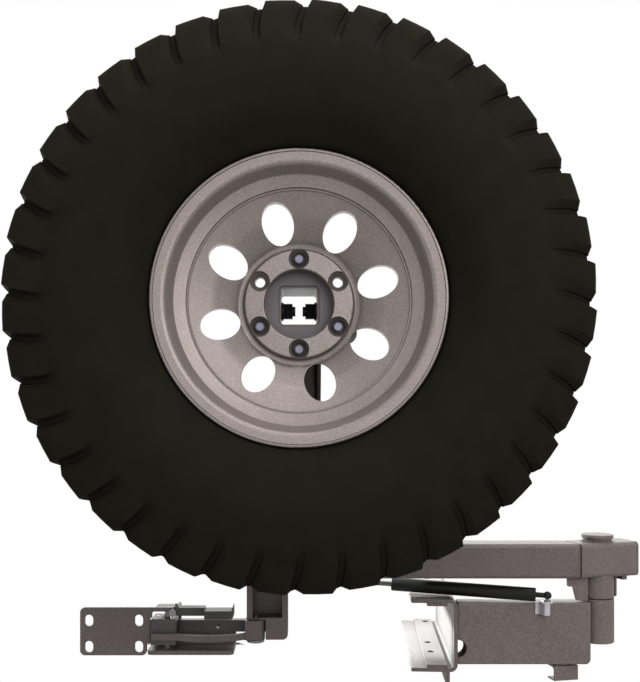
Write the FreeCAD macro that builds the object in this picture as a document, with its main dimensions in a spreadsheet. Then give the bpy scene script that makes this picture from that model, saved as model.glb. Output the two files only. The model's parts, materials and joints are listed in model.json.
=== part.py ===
import FreeCAD, Part
import math
import os
import Sketcher

# Swing-out spare tire carrier, millimetres.
#
# Working frame: X to the right, Y away from the person who looks at the wheel's outer face,
# Z up, zero on the wheel's axis at the front of its lug ring. Every finished sub-part is then
# shifted so that the model's origin is on the frame rail seat, between the two front bolts.

os.makedirs("parts", exist_ok=True)
doc = FreeCAD.newDocument("spare_tire_carrier")
V = FreeCAD.Vector

# ---------------------------------------------------------------- driving dimensions
DIMS = {
    "tube_side": (63.5, "square tube of arm, post, head and hub tube"),
    "tube_wall": (4.75, "wall of that tube"),
    "hub_tube_wall": (3.2, "wall of the tube that slides in the ears"),
    "tube_corner": (8.0, "outer corner radius of the tube"),
    "head_angle": (17.5, "pivot head turned back from the arm, degrees"),
    "head_length": (122.0, "length of the pivot head"),
    "barrel_dia": (60.0, "pivot barrel and sleeve"),
    "kingpin_dia": (38.0, "pivot shaft"),
    "bush_bore": (38.1, "running bore on the pivot shaft"),
    "sleeve_bore": (44.2, "bore that holds the bushes"),
    "plate_mid": (6.35, "quarter inch plate"),
    "box_depth": (38.0, "pivot box, front to back"),
    "box_height": (114.0, "pivot box, top to bottom"),
    "bracket_length": (410.0, "frame bracket along the rail"),
    "bracket_height": (132.7, "frame bracket, outside"),
    "bracket_width": (84.8, "frame bracket, outside"),
    "bracket_sheet": (7.0, "frame bracket thickness"),
    "bracket_yaw": (3.6, "frame rail turned from the carrier, degrees"),
    "rail_hole_dia": (14.3, "rail bolt holes"),
    "rail_hole_far_dia": (16.5, "third rail bolt hole"),
    "wheel_bore_dia": (108.0, "centre bore of the wheel"),
    "lug_circle_dia": (139.7, "six lug holes on this circle"),
    "lug_hole_dia": (15.5, "lug holes"),
    "stud_dia": (14.0, "wheel studs"),
    "tyre_dia": (869.0, "tyre, outside"),
    "lug_count": (40.0, "shoulder lugs on each side of the tyre"),
    "strut_tube_dia": (25.0, "gas strut tube"),
    "strut_tube_bore": (22.8, "bore of that tube"),
    "strut_rod_dia": (9.6, "gas strut rod"),
    "strut_rod_length": (152.0, "rod from its ball into the tube"),
    "ball_dia": (13.0, "ball studs"),
    "socket_dia": (15.0, "ball sockets"),
    "striker_dia": (10.0, "striker pin"),
    "slot_width": (15.0, "latch plate slots"),
    "slot_height": (21.0, "latch plate slots"),
    "slot_pitch_x": (90.9, "latch plate slots, across"),
    "slot_pitch_z": (47.8, "latch plate slots, up"),
    "cross_bolt_dia": (16.0, "bolts through ears and hub tube"),
    "handle_pin_dia": (8.0, "pin of the latch handle"),
    "pawl_pin_dia": (6.0, "pin of the pawl"),
}
sheet = doc.addObject("Spreadsheet::Sheet", "Dims")
for row, (alias, (value, note)) in enumerate(DIMS.items(), start=1):
    sheet.set("A%d" % row, alias)
    sheet.set("B%d" % row, repr(value))
    sheet.set("C%d" % row, note)
    sheet.setAlias("B%d" % row, alias)
doc.recompute()
D = {alias: value for alias, (value, note) in DIMS.items()}

ORIGIN = V(258.5, 408.0, -626.95)
PIVOT = V(558.5, 309.6, 0.0)
STRUT_BALL_LOW = V(452.4, 262.0, -498.8)
STRUT_BALL_HIGH = V(50.0, 374.6, -487.3)
BRACKET_CORNER = V(290.4, 268.0, 0.0)
HEAD_CORNER = V(516.0, 263.0, 0.0)
NODES = {}


# ---------------------------------------------------------------- helpers
def bind(obj, **sizes):
    """Sets sizes: a string is an expression on the sheet, a number is used as it is."""
    for prop, value in sizes.items():
        if isinstance(value, str):
            obj.setExpression(prop, value)
        else:
            setattr(obj, prop, value)
    return obj


def dims(name, factor=None, plus=None):
    """Expression for a driving dimension, scaled and shifted."""
    text = "Dims." + name
    if factor is not None:
        text += " * %g" % factor
    if plus is not None:
        text += " + %g" % plus
    return text


def body_sketch(name, plane, offset=0.0):
    """A body with one empty sketch on one of its origin planes."""
    body = doc.addObject("PartDesign::Body", name)
    sk = add_sketch(body, name + "_sketch", plane, offset)
    return body, sk


def add_sketch(body, name, plane, offset=0.0):
    sk = body.newObject("Sketcher::SketchObject", name)
    side = [f for f in body.Origin.OriginFeatures if f.Role == plane][0]
    sk.AttachmentSupport = [(side, "")]
    sk.MapMode = "FlatFace"
    sk.AttachmentOffset = FreeCAD.Placement(V(0, 0, offset), FreeCAD.Rotation())
    return sk


def outline(sk, corners):
    """Closed outline through corners (x, y, radius), straight sides and round corners."""
    pts = [V(c[0], c[1], 0) for c in corners]
    radii = [c[2] if len(c) > 2 else 0.0 for c in corners]
    count = len(pts)
    starts = []
    ends = []
    mids = []
    for i in range(count):
        here = pts[i]
        back = (pts[i - 1] - here).normalize()
        ahead = (pts[(i + 1) % count] - here).normalize()
        if radii[i] > 0:
            half = back.getAngle(ahead) / 2
            run = radii[i] / math.tan(half)
            away = (back + ahead).normalize() * (radii[i] / math.sin(half))
            starts.append(here + back * run)
            ends.append(here + ahead * run)
            mids.append(here + away - (away.normalize() * radii[i]))
        else:
            starts.append(here)
            ends.append(here)
            mids.append(None)
    edges = []
    for i in range(count):
        if mids[i] is not None:
            edges.append(Part.Arc(starts[i], mids[i], ends[i]))
        follow = starts[(i + 1) % count]
        if (follow - ends[i]).Length > 1e-6:
            edges.append(Part.LineSegment(ends[i], follow))
    for edge in edges:
        sk.addGeometry(edge, False)


def circle(sk, x, y, expression):
    """A circle whose radius follows the sheet."""
    index = sk.addGeometry(Part.Circle(V(x, y, 0), V(0, 0, 1), 5.0), False)
    con = sk.addConstraint(Sketcher.Constraint("Radius", index, 5.0))
    sk.setExpression("Constraints[%d]" % con, expression)


def pad(body, sk, length, reverse=False):
    feature = body.newObject("PartDesign::Pad", body.Name + "_pad")
    feature.Profile = sk
    feature.Reversed = reverse
    bind(feature, Length=length)
    return feature


def pocket(body, sk, depth, reverse=False):
    feature = body.newObject("PartDesign::Pocket", body.Name + "_pocket")
    feature.Profile = sk
    feature.Reversed = reverse
    bind(feature, Length=depth)
    return feature


def spin(body, sk, axis="V_Axis"):
    feature = body.newObject("PartDesign::Revolution", body.Name + "_turn")
    feature.Profile = sk
    feature.ReferenceAxis = (sk, [axis])
    feature.Angle = 360.0
    return feature


def plate(name, plane, start, length, corners, holes=(), inner=(), reverse=None):
    """A plate or tube: one outline with holes, padded along its plane's normal from start."""
    body, sk = body_sketch(name, plane)
    outline(sk, corners)
    for loop in inner:
        outline(sk, loop)
    for x, y, expression in holes:
        circle(sk, x, y, expression)
    pad(body, sk, length, plane == "XZ_Plane" if reverse is None else reverse)
    shift = {"XY_Plane": V(0, 0, start), "XZ_Plane": V(0, start, 0), "YZ_Plane": V(start, 0, 0)}
    body.Placement = FreeCAD.Placement(shift[plane], FreeCAD.Rotation())
    return body


def turned(name, corners, plane="XZ_Plane", axis="V_Axis"):
    """A turned part: outline (radius, height) round the sketch's own axis."""
    body, sk = body_sketch(name, plane)
    outline(sk, corners)
    spin(body, sk, axis)
    return body


def place(obj, x=0.0, y=0.0, z=0.0, yaw=0.0, pitch=0.0):
    """Puts an object at a point, turned about Z and then tipped about its own Y."""
    turn = FreeCAD.Rotation(V(0, 0, 1), yaw).multiply(FreeCAD.Rotation(V(0, 1, 0), pitch))
    obj.Placement = FreeCAD.Placement(V(x, y, z), turn)
    return obj


def box(name, size, at, yaw=0.0):
    obj = doc.addObject("Part::Box", name)
    bind(obj, Length=size[0], Width=size[1], Height=size[2])
    return place(obj, at[0], at[1], at[2], yaw)


def cylinder(name, radius, height, at, axis="Z"):
    obj = doc.addObject("Part::Cylinder", name)
    bind(obj, Radius=radius, Height=height)
    turns = {"Z": (V(0, 0, 1), 0), "Y": (V(1, 0, 0), -90), "X": (V(0, 1, 0), 90)}
    obj.Placement = FreeCAD.Placement(V(*at), FreeCAD.Rotation(*turns[axis]))
    return obj


def cut(name, base, tools):
    """Base less every tool."""
    shape = base
    for i, tool in enumerate(tools):
        obj = doc.addObject("Part::Cut", "%s_cut%d" % (name, i))
        obj.Base = shape
        obj.Tool = tool
        shape = obj
    return shape


def fuse(name, parts):
    obj = doc.addObject("Part::MultiFuse", name + "_fuse")
    obj.Shapes = parts
    obj.Refine = True
    return obj


def group(name, parts):
    """Identical loose pieces that share one node."""
    obj = doc.addObject("Part::Compound", name + "_set")
    obj.Links = parts
    return obj


def node(label, obj):
    """Registers a finished sub-part and moves it from the working frame to the model's."""
    obj.Label = label
    base = obj.Placement
    obj.Placement = FreeCAD.Placement(base.Base - ORIGIN, base.Rotation)
    NODES[label] = obj
    return obj


def rect(x0, y0, x1, y1, radius=0.0):
    return [(x0, y0, radius), (x1, y0, radius), (x1, y1, radius), (x0, y1, radius)]


def polar(radius, degrees):
    a = math.radians(degrees)
    return radius * math.cos(a), radius * math.sin(a)


# ---------------------------------------------------------------- frame bracket (vehicle side)
BW, BH, BT = D["bracket_width"], D["bracket_height"], D["bracket_sheet"]
LOW = -640.3
c_profile = [
    (-BW, 0, 2), (0, 0, 14), (0, BH, 14), (-BW, BH, 2),
    (-BW, BH - BT, 2), (-BT, BH - BT, 7), (-BT, BT, 7), (-BW, BT, 2),
]
RAIL_HOLES = ((-40.7, 99.6, "rail_hole_dia"), (-40.6, 175.8, "rail_hole_dia"),
              (-32.0, 372.8, "rail_hole_far_dia"))


def on_bracket(obj, z):
    """Places a part built in the bracket's own frame."""
    return place(obj, BRACKET_CORNER.x, BRACKET_CORNER.y, z, -D["bracket_yaw"])


channel = plate("frame_bracket", "XZ_Plane", 0, dims("bracket_length"), c_profile)
drill = channel.newObject("Sketcher::SketchObject", "frame_bracket_drill")
ground = [f for f in channel.Origin.OriginFeatures if f.Role == "XY_Plane"][0]
drill.AttachmentSupport = [(ground, "")]
drill.MapMode = "FlatFace"
for hx, hy, dia in RAIL_HOLES:
    circle(drill, hx, hy, dims(dia, 0.5))
pocket(channel, drill, dims("bracket_sheet", 1, 1), True)
node("frame_bracket", on_bracket(channel, LOW))

upper = plate("bracket_doubler_upper", "XY_Plane", 0, 5.5, rect(-55.7, 0, -18.3, 400, 3))
node("bracket_doubler_upper", on_bracket(upper, LOW + BH - BT - 5.5))
lower = plate("bracket_doubler_lower", "XY_Plane", 0, dims("plate_mid"), rect(-57, 0, -18.8, 400, 3),
              [(hx, hy, dims(dia, 0.5)) for hx, hy, dia in RAIL_HOLES])
node("bracket_doubler_lower", on_bracket(lower, LOW + BT))
rib = plate("bracket_rib", "YZ_Plane", -20.8, dims("plate_mid"),
            [(0, -26.2, 3), (150, -26.2, 8), (190, 0, 0), (0, 0, 0)])
rib.Placement = FreeCAD.Placement(V(0, 0, 0), FreeCAD.Rotation())
place(rib, 0, 0, 0)
turn = FreeCAD.Rotation(V(0, 0, 1), -D["bracket_yaw"])
rib.Placement = FreeCAD.Placement(
    V(BRACKET_CORNER.x, BRACKET_CORNER.y, LOW) + turn.multVec(V(-20.8, 0, 0)), turn)
node("bracket_rib", rib)

# ---------------------------------------------------------------- pivot box and barrel
BOX_TOP, BOX_LOW, BOX_Y = -514.0, -628.0, 275.0
shell = plate("pivot_box_shell", "XZ_Plane", BOX_Y, dims("box_depth"),
              [(280, BOX_LOW, 0), (536, BOX_LOW, 9.5), (536, BOX_TOP, 4), (280, BOX_TOP, 0)])
hollow = box("pivot_box_hollow", (238, dims("box_depth", 1, -12), dims("box_height", 1, -12)),
             (280, BOX_Y + 6, BOX_LOW + 6))
left_trim = box("pivot_box_trim", (60, 120, 160), (0, 0, 0))
corner = turn.multVec(V(-60, -30, 0)) + BRACKET_CORNER
place(left_trim, corner.x, corner.y, -660, -D["bracket_yaw"])
cope = cylinder("pivot_box_cope", dims("barrel_dia", 0.5, 0.1), 160, (PIVOT.x, PIVOT.y, -660))
notch = cylinder("pivot_box_notch", 16, 60, (291.4, BOX_Y - 10, -599.2), "Y")
CLIP_TURN = FreeCAD.Rotation(V(0, 0, 1), 12.0)
CLIP_SPOTS = [V(490, 280, 0) + CLIP_TURN.multVec(V(along, 12, 0)) for along in (-14.0, 16.0)]
drilled = [cylinder("pivot_box_drill_%d" % i, 2.55, 8, (spot.x, spot.y, -630))
           for i, spot in enumerate(CLIP_SPOTS)]
node("pivot_box", cut("pivot_box", shell, [hollow, left_trim, cope, notch] + drilled))

PX, PY = PIVOT.x, PIVOT.y
KR = D["kingpin_dia"] / 2
BR = D["barrel_dia"] / 2
SR = D["sleeve_bore"] / 2
node("pivot_barrel", place(turned("pivot_barrel", [
    (KR, -592.5, 1), (BR, -592.5, 1.5), (BR, -511, 1), (KR, -511, 0)]), PX, PY))
node("kingpin", place(turned("kingpin", [
    (0, -589), (KR - 1, -589), (KR, -588), (KR, -421.5), (KR - 1, -420.5),
    (6.1, -420.5), (6.1, -460), (0, -460)]), PX, PY))
node("thrust_washer", place(turned("thrust_washer", [
    (KR + 0.2, -511), (BR - 0.5, -511), (BR - 0.5, -509.4), (KR + 0.2, -509.4)]), PX, PY))
node("retaining_washer", place(turned("retaining_washer", [
    (6.6, -420.5), (21.3, -420.5, 0.6), (21.3, -415.5, 0.6), (6.6, -415.5)]), PX, PY))


def hex_corners(across_flats, cx=0.0, cy=0.0, turned_by=0.0):
    radius = across_flats / math.sqrt(3)
    return [(cx + polar(radius, turned_by + 60 * k)[0],
             cy + polar(radius, turned_by + 60 * k)[1]) for k in range(6)]


screw_head = plate("retaining_screw_head", "XY_Plane", -415.5, 7.0, hex_corners(19))
place(screw_head, PX, PY, -415.5)
screw_shank = cylinder("retaining_screw_shank", 6.0, 40.0, (PX, PY, -455.5))
node("retaining_screw", fuse("retaining_screw", [screw_head, screw_shank]))

# ---------------------------------------------------------------- clip under the box
clip = plate("clip_bracket", "YZ_Plane", 0, 48, [
    (0, 0), (26, 0), (26, 3), (3, 3, 2), (3, 24, 2), (28, 24), (28, 27), (0, 27, 2)])
clip.Placement = FreeCAD.Placement(
    V(490, 280, -658.5) + CLIP_TURN.multVec(V(-22, 0, 0)), CLIP_TURN)
screws, holes = [], []
for i, spot in enumerate(CLIP_SPOTS):
    screw = turned("clip_screw_%d" % i, [
        (0, -638.5), (4.5, -638.5, 1), (4.5, -634.6), (2.5, -634.6), (2.5, -624), (0, -624)])
    screws.append(place(screw, spot.x, spot.y))
    holes.append(cylinder("clip_hole_%d" % i, 2.6, 12, (spot.x, spot.y, -640)))
node("clip_bracket", cut("clip_bracket", clip, holes))
node("clip_screws", group("clip_screws", screws))

# ---------------------------------------------------------------- strut mount on the box
BX, BY, BZ = STRUT_BALL_LOW
strap = plate("strut_bracket_strap", "XY_Plane", -534.5, 22.5, [
    (460.5, 274.9), (460.5, 272.4), (456.1, 272.4, 2), (456.1, 256, 2), (446.5, 256, 4),
    (438.5, 272.4, 3), (433, 272.4), (433, 274.9), (439.8, 274.9, 2), (447.6, 258.5, 2),
    (453.6, 258.5, 1), (453.6, 274.9)])
shelf = plate("strut_bracket_shelf", "XY_Plane", -512, 2.5, rect(441, 254.5, 460.5, 274.9, 2))
shelf_hole = cylinder("strut_bracket_hole", 3.45, 10, (BX, BY, -516))
node("strut_bracket", cut("strut_bracket", fuse("strut_bracket", [strap, shelf]), [shelf_hole]))


def ball_stud(name, up):
    """Ball stud with its ball at zero; the shank points down, or up."""
    ball = doc.addObject("Part::Sphere", name + "_ball")
    bind(ball, Radius=dims("ball_dia", 0.5))
    neck = cylinder(name + "_neck", 3.6, 10, (0, 0, 0 if up else -10))
    collar = cylinder(name + "_collar", 6.5, 3.0, (0, 0, 8.9 if up else -10.7))
    shank = cylinder(name + "_shank", 3.4, 10.0 if up else 5.4, (0, 0, 11 if up else -15.4))
    return fuse(name, [ball, neck, collar, shank])


node("strut_ball_lower", place(ball_stud("strut_ball_lower", False), BX, BY, BZ))

# ---------------------------------------------------------------- latch plate and catch
LX0, LX1, LZ0, LZ1 = -398.9, -277.2, -607.9, -520.7
slot_x = (-382.5, -382.5 + D["slot_pitch_x"])
slot_z = (-592.2, -592.2 + D["slot_pitch_z"])
SW, SH = D["slot_width"] / 2, D["slot_height"] / 2
slots = [rect(x - SW, z - SH, x + SW, z + SH, SW - 0.01) for x in slot_x for z in slot_z]
node("latch_plate", plate("latch_plate", "XZ_Plane", 262, dims("plate_mid"), [
    (LX0, LZ0, 9), (LX1, LZ0, 9), (LX1, -586.5, 1), (-271.3, -586.5, 1), (-271.3, -539.8, 1),
    (-267.7, -539.8, 1), (-267.7, LZ1 - 7.5, 4), (-229, LZ1 - 7.5, 1),
    (-229, LZ1, 1), (LX0, LZ1, 9)], inner=slots))
top = plate("catch_top_plate", "XY_Plane", -527.5, 6.5, rect(-262, 268.5, -226.2, 300, 2))
pin_clear = cylinder("catch_pin_clear", dims("striker_dia", 0.5, 0.03), 40, (-241, 275, -540))
node("catch_top_plate", cut("catch_top_plate", top, [pin_clear]))
floor = plate("catch_floor", "XY_Plane", -605.6, 8.0, [
    (-275.7, 255, 9), (-118.8, 255, 9), (-118.8, 334, 3), (-275.7, 334, 3)])
wall = box("catch_wall", (156.9, 6.0, 45.0), (-275.7, 328, -605))
floor_hole = cylinder("catch_floor_hole", dims("striker_dia", 0.5, 0.03), 20,
                      (-241, 275, -610))
node("catch_channel", cut("catch_channel", fuse("catch_channel", [floor, wall]), [floor_hole]))
node("striker_pin", place(turned("striker_pin", [
    (0, -608), (7.5, -608, 1), (7.5, -605.7), (5, -605.7), (5, -521.5, 1), (0, -521.5)]),
    -241, 275))
side = plate("catch_side_plate", "YZ_Plane", -226, 5.0, [
    (262, -536, 2), (315, -536, 3), (315, -597.4), (321.5, -597.4), (321.5, -521, 6),
    (276, -521, 6), (266, -513.6, 1), (262, -513.6, 0.5)])
node("catch_side_plate", side)
node("catch_rail_left", plate("catch_rail_left", "XZ_Plane", 262, 24.0, [
    (-220.9, -536, 1), (-171.9, -536, 1), (-171.9, -521, 2), (-220.9, -521, 1)]))
node("catch_rail_right", plate("catch_rail_right", "XZ_Plane", 250, 36.0, [
    (-171.7, -540.5, 1), (-122, -540.5, 3), (-119, -536, 1), (-119, -517, 0.5),
    (-121.5, -520, 0.5), (-121.5, -525, 1), (-171.7, -525, 1)]))
node("catch_nut", plate("catch_nut", "XZ_Plane", 256, 5.8, hex_corners(13, -230, -529.5, 30)))

# ---------------------------------------------------------------- swing arm, beam and head
TS, TW, TC = D["tube_side"], D["tube_wall"], D["tube_corner"]
ARM_Y, ARM_Z = 262.0, -469.0


def tube_loops(u0, v0, wall, side=TS, radius=TC):
    outer = rect(u0, v0, u0 + side, v0 + side, radius)
    inner = rect(u0 + wall, v0 + wall, u0 + side - wall, v0 + side - wall,
                 max(radius - wall, 1.0))
    return outer, inner


outer, inner = tube_loops(ARM_Y, ARM_Z, TW)
beam = plate("arm_beam_tube", "YZ_Plane", -92.0, 612.0, outer, inner=[inner])
mitre = plate("arm_beam_mitre", "XY_Plane", -500, 160, [
    (503, 240), (503, 262), (514.5, 265.2), (495.5, 325.5), (490, 343), (560, 343), (560, 240)])
node("arm_beam", cut("arm_beam", beam, [mitre]))
node("arm_end_plate", plate("arm_end_plate", "YZ_Plane", -95.0, 3.0, outer))
node("arm_plug", place(turned("arm_plug", [
    (0, -472), (7.5, -472, 1.5), (7.5, -469.1), (0, -469.1)]), 236.5, 290))

outer, inner = tube_loops(0.0, ARM_Z, TW)
head = plate("pivot_head_tube", "YZ_Plane", 0.0, dims("head_length", 1, -4), outer, inner=[inner])
place(head, HEAD_CORNER.x, HEAD_CORNER.y, 0, D["head_angle"])
head_bore = cylinder("pivot_head_bore", dims("barrel_dia", 0.5, 0.03), 100, (PX, PY, -480))
node("pivot_head", cut("pivot_head", head, [head_bore]))


def on_head(along, deep):
    """Point given along the head and in from its front face."""
    a = math.radians(D["head_angle"])
    return (HEAD_CORNER.x + along * math.cos(a) - deep * math.sin(a),
            HEAD_CORNER.y + along * math.sin(a) + deep * math.cos(a))


head_end = plate("head_end_plate", "YZ_Plane", 0, 4.0, outer)
ex, ey = on_head(D["head_length"] - 4, 0)
node("head_end_plate", place(head_end, ex, ey, 0, D["head_angle"]))
node("pivot_sleeve", place(turned("pivot_sleeve", [
    (SR, -509.1, 0.5), (BR, -509.1, 1), (BR, -404, 0.5), (SR, -404, 0.5)]), PX, PY))
BB = D["bush_bore"] / 2
bushes = []
for i, (low, high) in enumerate(((-507.5, -477.5), (-451.5, -421.5))):
    bushes.append(place(turned("pivot_bush_%d" % i, [
        (BB, low, 0.5), (SR - 0.02, low, 0.5), (SR - 0.02, high, 0.5), (BB, high, 0.5)]), PX, PY))
node("pivot_bushes", group("pivot_bushes", bushes))
node("pivot_cap", place(turned("pivot_cap", [
    (0, -406), (SR - 0.1, -406), (SR - 0.1, -403.5), (26, -403.5), (26, -399.5),
    (29, -399.5, 1.5), (29, -392.3, 2), (0, -391.3)]), PX, PY))
node("sleeve_front_gusset", plate("sleeve_front_gusset", "XZ_Plane", 280, dims("plate_mid"), [
    (494, -469.1, 1), (494, -485.8, 3), (503.9, -485.8, 1), (510, -511.3, 4), (531.9, -511.3, 3),
    (531.9, -469.1, 1)]))
node("sleeve_rear_gusset", plate("sleeve_rear_gusset", "YZ_Plane", 588.7, 3.8, [
    (302, -469.1, 1), (302, -508.5, 6), (330, -508.5, 6), (330, -469.1, 1)]))
tab = plate("head_bottom_tab", "XY_Plane", -476.5, 7.3, rect(-5.5, -13, 5.5, 13, 2))
node("head_bottom_tab", place(tab, 603.3, 314, -476.5, D["head_angle"]))

# ---------------------------------------------------------------- post, ears, hub tube
POST_Y, POST_TOP = 198.5, -38.0
outer, inner = tube_loops(-TS / 2, POST_Y, TW)
node("post", plate("post", "XY_Plane", ARM_Z, POST_TOP - ARM_Z, outer, inner=[inner]))
node("post_cap", plate("post_cap", "XY_Plane", POST_TOP, 4.0, outer))
ears = []
for i, x in enumerate((-TS / 2 - 6.4, TS / 2 + 0.05)):
    ears.append(plate("post_ear_%d" % i, "YZ_Plane", x, dims("plate_mid"), [
        (74, -34, 12), (150, -34, 12), (198.5, -150, 10), (262, -150, 10), (262, 34, 16),
        (74, 34, 16)], [(104, 0, dims("cross_bolt_dia", 0.5, 0.5))]))
node("post_ears", group("post_ears", ears))
outer, inner = tube_loops(-TS / 2, -TS / 2, D["hub_tube_wall"])
tube = plate("hub_tube_body", "XZ_Plane", 30.0, 102.0, outer, inner=[inner])
cross = cylinder("hub_tube_cross", dims("cross_bolt_dia", 0.5, 0.5), 100, (-50, 104, 0), "X")
node("hub_tube", cut("hub_tube", tube, [cross]))
bolts, nuts, washers = [], [], []
for i, sign in enumerate((-1, 1)):
    inside = TS / 2 - D["hub_tube_wall"]
    outside = TS / 2 + 6.4

    def across(name, corners, low, high, sign=sign):
        """Turned ring about X between two distances from the middle, on one side."""
        body = plate(name, "YZ_Plane", 0, high - low, corners)
        start = low if sign > 0 else -high
        body.Placement = FreeCAD.Placement(V(start, 104, 0), FreeCAD.Rotation())
        return body
    head_hex = across("cross_bolt_head_%d" % i, hex_corners(24), outside + 3.1, outside + 13.1)
    end = inside - 3 - 15 - 4.6
    start = end if sign > 0 else -(outside + 4)
    rod = cylinder("cross_bolt_rod_%d" % i, dims("cross_bolt_dia", 0.5), outside + 4 - end,
                   (start, 104, 0), "X")
    bolts.append(fuse("cross_bolt_%d" % i, [head_hex, rod]))
    nut_hex = across("cross_nut_hex_%d" % i, hex_corners(24), inside - 18.0, inside - 3.0)
    nut_bore = cylinder("cross_nut_bore_%d" % i, dims("cross_bolt_dia", 0.5, 0.02), 30,
                        ((inside - 25) if sign > 0 else -(inside + 5), 104, 0), "X")
    nuts.append(cut("cross_nut_%d" % i, nut_hex, [nut_bore]))
    for j, (low, high) in enumerate(((inside - 3.0, inside), (outside + 0.1, outside + 3.1))):
        disc = cylinder("cross_washer_disc_%d%d" % (i, j), 15.0, high - low,
                        (low if sign > 0 else -high, 104, 0), "X")
        bore = cylinder("cross_washer_bore_%d%d" % (i, j), 8.4, high - low + 4,
                        ((low if sign > 0 else -high) - 2, 104, 0), "X")
        washers.append(cut("cross_washer_%d%d" % (i, j), disc, [bore]))
node("cross_bolts", group("cross_bolts", bolts))
node("cross_nuts", group("cross_nuts", nuts))
node("cross_washers", group("cross_washers", washers))

HUB_Y = 27.0
half = TS / 2 + 0.05
window = rect(-half, -half, half, half, TC)
STUD_AT = (90.0, -30.0, -90.0, -150.0)
LR = D["lug_circle_dia"] / 2
node("hub_plate", plate("hub_plate", "XZ_Plane", HUB_Y, 8.0, [
    (-44, 92, 12), (-44, 42, 4), (-57, 6, 6), (-91, -22, 12), (-91, -52, 16), (-36, -88, 14),
    (36, -88, 14), (91, -52, 16), (91, -22, 12), (57, 6, 6), (44, 42, 4), (44, 92, 12)],
    [(polar(LR, a)[0], polar(LR, a)[1], dims("stud_dia", 0.5, 0.02)) for a in STUD_AT],
    inner=[window]))
studs = []
for i, angle in enumerate(STUD_AT):
    sx, sz = polar(LR, angle)
    stud = turned("wheel_stud_%d" % i, [
        (0, 3), (5.5, 3), (7, 4.5), (7, 35), (10.5, 35), (10.5, 40, 1), (0, 40)], "XY_Plane")
    studs.append(place(stud, sx, 0, sz))
node("wheel_studs", group("wheel_studs", studs))

# ---------------------------------------------------------------- drop leg and latch
leg, sk = body_sketch("drop_leg", "XZ_Plane")
outline(sk, [(-95.3, -469), (-95.3, -543, 2), (-61, -543, 1), (-61, -579.5, 1),
             (-20.2, -579.5, 10), (-20.2, -469)])
pad(leg, sk, 56.0, True)
sk = add_sketch(leg, "drop_leg_recess", "XZ_Plane")
outline(sk, rect(-84.5, -539.5, -30.7, -468, 2))
pocket(leg, sk, 38.0, False)
sk = add_sketch(leg, "drop_leg_pin", "XY_Plane", -545.0)
circle(sk, -79.5, 10.0, dims("handle_pin_dia", 0.5, 0.01))
pocket(leg, sk, 9.0, True)
node("drop_leg", place(leg, 0, 262, 0))
tongue = plate("latch_tongue", "XZ_Plane", 294, 16.0, [
    (-223.9, -572, 1), (-61.1, -572, 1), (-61.1, -550, 1), (-223.9, -550, 1)])
tongue_hole = cylinder("latch_tongue_hole", 4.3, 30, (-150.3, 288, -561.7), "Y")
node("latch_tongue", cut("latch_tongue", tongue, [tongue_hole]))
jaw = plate("latch_jaw_block", "XZ_Plane", 258, 52.0, [
    (-270, -588, 2), (-224, -588, 2), (-224, -541, 2), (-270, -541, 3)])
jaw_slot = box("latch_jaw_slot", (15.5, 60, 60), (-250.5, 265, -595))
jaw_pocket = box("latch_jaw_pocket", (30.7, 40, 9.0), (-268.7, 277, -570.5))
pawl_hole = cylinder("latch_jaw_pin_hole", dims("pawl_pin_dia", 0.5, 0.01), 80,
                     (-260, 290, -600))
node("latch_jaw", cut("latch_jaw", jaw, [jaw_slot, jaw_pocket, pawl_hole]))
node("pawl_pin", cylinder("pawl_pin", dims("pawl_pin_dia", 0.5), 47.0, (-260, 290, -588)))
node("latch_pawl", plate("latch_pawl", "XY_Plane", -570.0, 8.0, [
    (-267.5, 282.5, 6), (-252.5, 282.5, 6), (-255.5, 308.5, 3.5), (-264.5, 308.5, 3.5)],
    [(-260, 290, dims("pawl_pin_dia", 0.5, 0.06))]))

HX, HY = -79.5, 272.0
handle_block, sk = body_sketch("latch_handle_block", "XY_Plane")
r = 17.3
sk.addGeometry(Part.Arc(V(HX, HY - r, 0), V(HX + r, HY, 0), V(HX, HY + r, 0)), False)
sk.addGeometry(Part.LineSegment(V(HX, HY + r, 0), V(-98.5, HY + r - 4, 0)), False)
sk.addGeometry(Part.LineSegment(V(-98.5, HY + r - 4, 0), V(-98.5, HY - r, 0)), False)
sk.addGeometry(Part.LineSegment(V(-98.5, HY - r, 0), V(HX, HY - r, 0)), False)
circle(sk, HX, HY, dims("handle_pin_dia", 0.5, 0.06))
pad(handle_block, sk, 35.3)
place(handle_block, 0, 0, -578.9)
bow, sk = body_sketch("latch_handle_bow", "XY_Plane")
front = [V(-222.8, 250.5, 0), V(-160, 236, 0), V(-97, 257, 0)]
back = [V(-97, 265, 0), V(-160, 244, 0), V(-222.8, 256.5, 0)]
grip = [V(-268, 256.5, 0), V(-268, 250.5, 0)]
sk.addGeometry(Part.Arc(front[0], front[1], front[2]), False)
sk.addGeometry(Part.LineSegment(front[2], back[0]), False)
sk.addGeometry(Part.Arc(back[0], back[1], back[2]), False)
sk.addGeometry(Part.LineSegment(back[2], grip[0]), False)
sk.addGeometry(Part.LineSegment(grip[0], grip[1]), False)
sk.addGeometry(Part.LineSegment(grip[1], front[0]), False)
pad(bow, sk, 12.0)
place(bow, 0, 0, -578.3)
node("latch_handle", fuse("latch_handle", [handle_block, bow]))
node("handle_pin", place(turned("handle_pin", [
    (0, -585.3), (16.5, -585.3, 3), (16.5, -579.4, 1.5), (4, -579.4), (4, -536.5, 0.5),
    (0, -536.5)]), HX, HY))

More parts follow.
